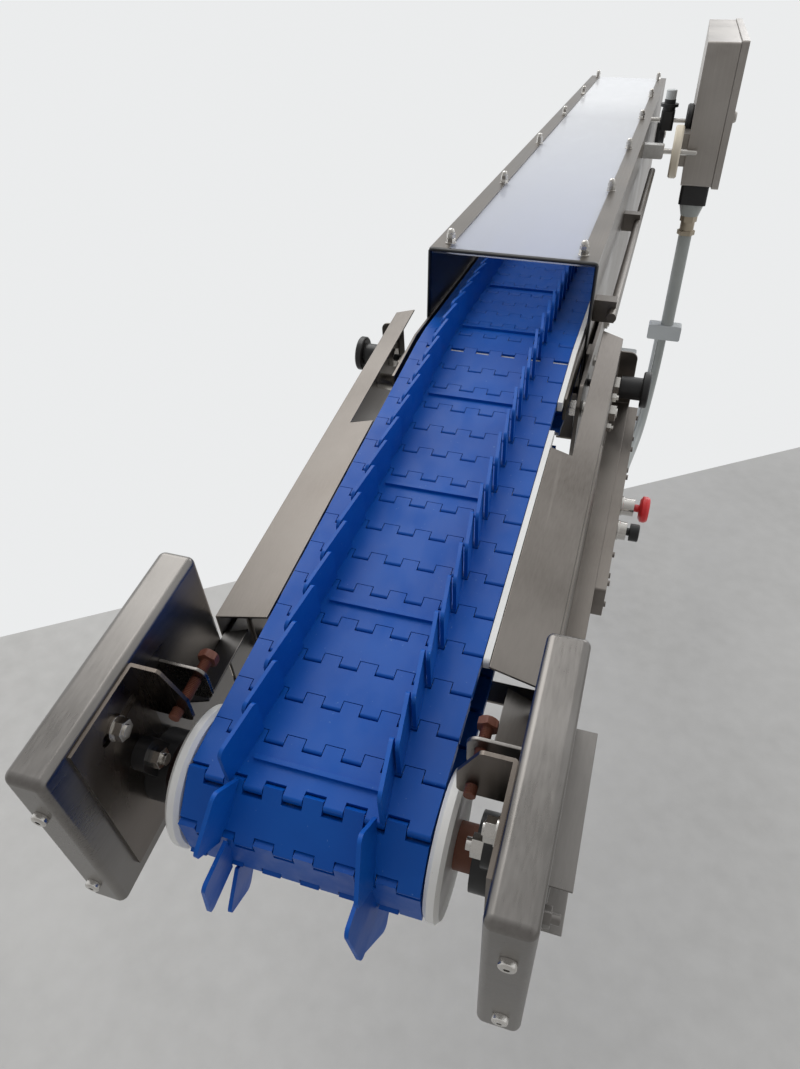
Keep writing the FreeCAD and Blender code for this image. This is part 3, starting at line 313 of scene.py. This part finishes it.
# ---- Belt -------------------------------------------------------------------------
# Blue moulded rows hinged on white rods, each with a side guard at both edges of the product
# lane and a low rib on every fourth row. Smooth plastic with rubbed patches and pale dust.
def moulded(name, dark, light, rough, spots=None, grain=0.00005, coat=0.0, shine=0.5):
    """Moulded plastic: slow colour drift, fine grain bump, rubbed patches and optional pale specks."""
    finish, nodes, shader, place = blank(name)
    drift = cloudy(nodes, place, (1, 1, 1), 9.0, 4.0, 0.3, 0.7)
    rubbed = cloudy(nodes, place, (1, 0.5, 1), 38.0, 7.0, 0.42, 0.72)
    fine = cloudy(nodes, place, (1, 1, 1), 900.0, 3.0, 0.2, 0.8)
    tone = mixed(nodes, drift, dark, light)
    if spots:
        specks = cloudy(nodes, place, (1, 1, 1), 210.0, 8.0, 0.70, 0.76)
        tone = mixed(nodes, ranged(nodes, specks, 0.0, 0.55), tone, spots)
    nodes.links.new(tone, shader.inputs["Base Color"])
    nodes.links.new(ranged(nodes, rubbed, rough - 0.05, rough + 0.12), shader.inputs["Roughness"])
    shader.inputs["Specular IOR Level"].default_value = shine
    shader.inputs["Coat Weight"].default_value = coat
    shader.inputs["Coat Roughness"].default_value = 0.25
    embossed(nodes, shader, [(fine, grain, 0.5),
                             (cloudy(nodes, place, (1, 1, 1), 30.0, 3.0, 0.3, 0.7), 0.0003, 0.25)])
    return finish


belt_blue = moulded("belt_blue", (0.001, 0.078, 0.40), (0.002, 0.100, 0.47), 0.42, (0.20, 0.36, 0.60),
                    shine=0.24)
for node in ("near_belt_top", "near_belt_nose", "near_belt_return"):
    eased(node, "near_section", belt_blue, 0.0006, 1, 40)
for node in ("hood_belt_top", "drive_belt_nose", "hood_belt_return"):
    eased(node, "root", belt_blue, 0.0)

# ---- White plastic ----------------------------------------------------------------
# Machined low-friction plastic: edge strips, wear strips, guide discs, sprockets, hinge rods.
white_plastic = moulded("white_plastic", (0.86, 0.855, 0.82), (0.92, 0.915, 0.89), 0.42,
                        (0.66, 0.64, 0.57))
for node, body in (("near_edge_strips", "near_section"), ("near_wear_strips", "near_section"),
                   ("near_belt_rods", "near_section"), ("guide_discs", "idler"),
                   ("idler_sprockets", "idler"), ("hood_edge_strips", "root"),
                   ("hood_wear_strips", "root"), ("hood_belt_rods", "root"), ("drive_sprockets", "drive")):
    eased(node, body, white_plastic, 0.0, sharp=28)

# ---- Black plastic ----------------------------------------------------------------
# Moulded bearings, pull knobs, push cap, sensor, cable collar and the disc behind the cabinet.
black_plastic = moulded("black_plastic", (0.010, 0.010, 0.011), (0.018, 0.018, 0.019), 0.38,
                        (0.06, 0.06, 0.06))
for node, body in (("idler_bearings", "near_section"), ("drive_bearings", "root"), ("back_disc", "root"),
                   ("sensor_body", "root"), ("cable_collar", "root"), ("plunger_right", "plunger_r"),
                   ("plunger_left", "plunger_l"), ("push_cap", "push_button")):
    eased(node, body, black_plastic, 0.0007, 2, 30)

# ---- Coloured and cast small parts ------------------------------------------------
# Red stop head, cream swivel disc, light grey clip, grey pipe, clamp casting, motor and gland.
red_plastic = moulded("red_plastic", (0.70, 0.012, 0.018), (0.80, 0.025, 0.03), 0.3, coat=0.3)
cream_plastic = moulded("cream_plastic", (0.62, 0.55, 0.43), (0.76, 0.69, 0.57), 0.45, (0.42, 0.36, 0.27))
pale_grey = moulded("pale_grey", (0.50, 0.53, 0.54), (0.58, 0.61, 0.62), 0.45, (0.35, 0.36, 0.36))
pipe_grey = moulded("pipe_grey", (0.30, 0.32, 0.31), (0.38, 0.40, 0.39), 0.40, (0.20, 0.20, 0.19))
drive_grey = moulded("drive_grey", (0.20, 0.21, 0.22), (0.26, 0.27, 0.28), 0.45, (0.10, 0.10, 0.10))
cast_metal = satin_steel("cast_metal", (0.60, 0.59, 0.57), (0.76, 0.75, 0.73), 0.42, (200, 200, 200))
gland_metal = satin_steel("gland_metal", (0.34, 0.29, 0.22), (0.48, 0.42, 0.33), 0.36, (300, 300, 300))
for node, body, slot, finish, width in (
        ("stop_mushroom", "stop_button", "red_plastic", red_plastic, 0.0012),
        ("swivel_disc", "root", "cream_plastic", cream_plastic, 0.001),
        ("sensor_cap", "root", "grey_plastic", pale_grey, 0.0006),
        ("cable_boxes", "root", "light_grey_plastic", pale_grey, 0.001),
        ("cable_pipe", "root", "grey_plastic", pipe_grey, 0.0006),
        ("gear_motor", "root", "painted_drive", drive_grey, 0.0015),
        ("clamp_block", "root", "cast_clamp", cast_metal, 0.0008),
        ("cable_gland", "root", "gland_brass", gland_metal, 0.0008)):
    eased(node, body, finish, width, 2, 30)


# ---- Clear hood window ------------------------------------------------------------
# Clear sheet under the hood lips: you see the belt through it from above. Opacity grows at glancing angles,
# and toward the far end, where you look across it, a painted reflection makes it whiter and more opaque.
def window_finish():
    """Clear to milky: opacity grows with the glancing angle; toward the far end a painted reflection makes it
    whiter and more opaque.
    """
    finish, nodes, shader, place = blank("clear_window")
    glance = nodes.nodes.new("ShaderNodeLayerWeight")
    glance.inputs["Blend"].default_value = 0.42
    split = nodes.nodes.new("ShaderNodeSeparateXYZ")
    nodes.links.new(place, split.inputs[0])
    # Painted reflection: colour paler and opacity higher toward the far end, where the sheet is seen at a
    # glancing angle.
    far_painted_glare = nodes.nodes.new("ShaderNodeMapRange")
    far_painted_glare.inputs["From Min"].default_value = -1.0
    far_painted_glare.inputs["From Max"].default_value = 0.6
    nodes.links.new(split.outputs["Y"], far_painted_glare.inputs["Value"])
    both = nodes.nodes.new("ShaderNodeMath")
    both.operation = "MAXIMUM"
    nodes.links.new(glance.outputs["Facing"], both.inputs[0])
    nodes.links.new(far_painted_glare.outputs["Result"], both.inputs[1])
    nodes.links.new(mixed(nodes, far_painted_glare.outputs["Result"], (0.55, 0.58, 0.68), (0.84, 0.86, 0.90)),
                    shader.inputs["Base Color"])
    nodes.links.new(ranged(nodes, both.outputs[0], 0.08, 0.92), shader.inputs["Alpha"])
    wiped = cloudy(nodes, place, (3, 1, 3), 9.0, 4.0, 0.35, 0.65)
    nodes.links.new(ranged(nodes, wiped, 0.10, 0.16), shader.inputs["Roughness"])
    return finish


eased("hood_window", "root", window_finish(), 0.0)

# ---- Rusted collars ---------------------------------------------------------------
# Plain steel shaft collars between the discs and the bearings, gone red-brown.
rust = moulded("rust", (0.11, 0.030, 0.016), (0.25, 0.095, 0.055), 0.55, (0.36, 0.20, 0.12), 0.0003)
eased("shaft_collars", "idler", rust, 0.0006)


# ---- Take-up screws ---------------------------------------------------------------
# Hex-headed threaded screws that draw the bearing brackets back; rust has coloured the threads.
SLOPE = math.radians(9.33)
KINK_Y = -1.15
BELT_Z = 0.2


def near_point(x, s, h):
    """World place of a point given across, along and above the tilting belt, in metres."""
    return (x, s * math.cos(SLOPE) - h * math.sin(SLOPE) + KINK_Y,
            s * math.sin(SLOPE) + h * math.cos(SLOPE) + BELT_Z)


SCREW_H = 0.026
SHANK_START, SHANK_END = -0.7618, -0.6925
HEAD_START, HEAD_END = -0.6922, -0.6832
HEAD_RIM = 0.0004
THREAD_STEP, THREAD_CORE, THREAD_DEPTH = 0.00175, 0.0049, 0.0010
HEAD_FLAT = 0.0095


def take_up_screw(name, x, body, node):
    """Radius r(a, s) = core + depth * |2 frac(s / step - a / 2 pi) - 1| along the shank, then a
    six-sided head whose radius is flat / cos(a folded into one side) with a turned-down rim."""
    turns = np.linspace(0, 2 * np.pi, 48, endpoint=False)
    shank = np.linspace(SHANK_START, SHANK_END, 480)
    saw = np.abs(2 * np.mod(shank[:, None] / THREAD_STEP - turns[None] / (2 * np.pi), 1.0) - 1)
    thread = THREAD_CORE + THREAD_DEPTH * saw
    side = np.mod(turns + np.pi / 6, np.pi / 3) - np.pi / 6
    hexed = HEAD_FLAT / np.cos(side)
    rim = np.minimum(hexed, HEAD_FLAT * 1.02)
    head = np.array([HEAD_START, HEAD_START + HEAD_RIM, HEAD_END - 0.001, HEAD_END])
    along = np.concatenate([shank, head])[:, None]
    radius = np.concatenate([thread, np.stack([rim, hexed, hexed, rim])])
    spots = near_point(x + radius * np.cos(turns), along, SCREW_H + radius * np.sin(turns))
    mesh = ringed_mesh(name, np.stack(np.broadcast_arrays(*spots), axis=-1))
    mesh.set_sharp_from_angle(angle=math.radians(40))
    shown(name, mesh, rust, body, [node])


take_up_screw("take_up_thread_right", 0.146, "take_up_r", "take_up_screw_right")
take_up_screw("take_up_thread_left", -0.146, "take_up_l", "take_up_screw_left")


# ---- Hood mouth trim --------------------------------------------------------------
# Black push-on edging round the open end of the hood: a bead over both side sheets and lips.
MOUTH_Y = -1.0588
BEAD_THICK = 0.0030
BEAD_LONG = 0.0055
SIDE_RUN = [(0.1335, 0.012), (0.1335, 0.3045), (0.1318, 0.3070), (0.128, 0.3072)]


def mouth_trim():
    """Oval ring of two half widths carried along a path that goes up one side sheet, across the lips
    and the window edge, and down the other side sheet."""
    path = SIDE_RUN + [(-x, z) for x, z in SIDE_RUN[::-1]]
    ring = [(math.cos(a), math.sin(a)) for a in np.linspace(0, 2 * np.pi, 12, endpoint=False)]
    points = []
    for k, (x, z) in enumerate(path):
        run = Vector(path[min(k + 1, len(path) - 1)]) - Vector(path[max(k - 1, 0)])
        out = Vector((run.y, -run.x)).normalized()
        points.append([(x + BEAD_THICK * out.x * c, MOUTH_Y + BEAD_LONG * d, z + BEAD_THICK * out.y * c)
                       for c, d in ring])
    shown("mouth_trim", ringed_mesh("mouth_trim", np.array(points)), black_plastic, "root")


mouth_trim()

# ---- Conduit and hose -------------------------------------------------------------
# Grey conduit and a thin pale hose leave the clip together, droop along the side and turn
# up into the entry box under the hooded length.
def cord_piece(name, points, thickness, finish, node):
    """Smooth open spline through the route's control points, given a round section."""
    curve = bpy.data.curves.new(name, "CURVE")
    curve.dimensions = "3D"
    line = curve.splines.new("NURBS")
    line.points.add(len(points) - 1)
    for spot, place in zip(line.points, points):
        spot.co = (*place, 1.0)
    line.use_endpoint_u = True
    line.order_u = 3
    line.resolution_u = 24
    curve.bevel_depth = thickness / 2
    curve.bevel_resolution = 6
    curve.use_fill_caps = True
    bare = curve.copy()
    bare.bevel_depth = 0
    ghost = bpy.data.objects.new(name + "_line", bare)
    track = bpy.data.meshes.new_from_object(ghost)
    spots = np.empty(len(track.vertices) * 3)
    track.vertices.foreach_get("co", spots)
    spots = spots.reshape(-1, 3)
    bpy.data.objects.remove(ghost)
    bpy.data.curves.remove(bare)
    bpy.data.meshes.remove(track)
    piece = bpy.data.objects.new(name, curve)
    curve.materials.append(finish)
    scene.collection.objects.link(piece)
    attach(piece, "root")
    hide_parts(node)


conduit_route = [(0.2785, 0.145, -0.268), (0.2785, 0.145, -0.348), (0.272, 0.085, -0.440),
                 (0.262, -0.040, -0.500), (0.240, -0.240, -0.505), (0.225, -0.470, -0.440),
                 (0.205, -0.660, -0.330), (0.188, -0.745, -0.200), (0.186, -0.750, -0.100),
                 (0.186, -0.750, -0.006)]
hose_route = [(x - 0.0175, y - 0.004, z) for x, y, z in conduit_route]
CONDUIT_THICK = 0.025
HOSE_THICK = 0.009
cord_piece("conduit", conduit_route, CONDUIT_THICK, pipe_grey, "cable_conduit")
cord_piece("hose", hose_route, HOSE_THICK, pale_grey, "cable_hose")


bpy.context.view_layer.update()
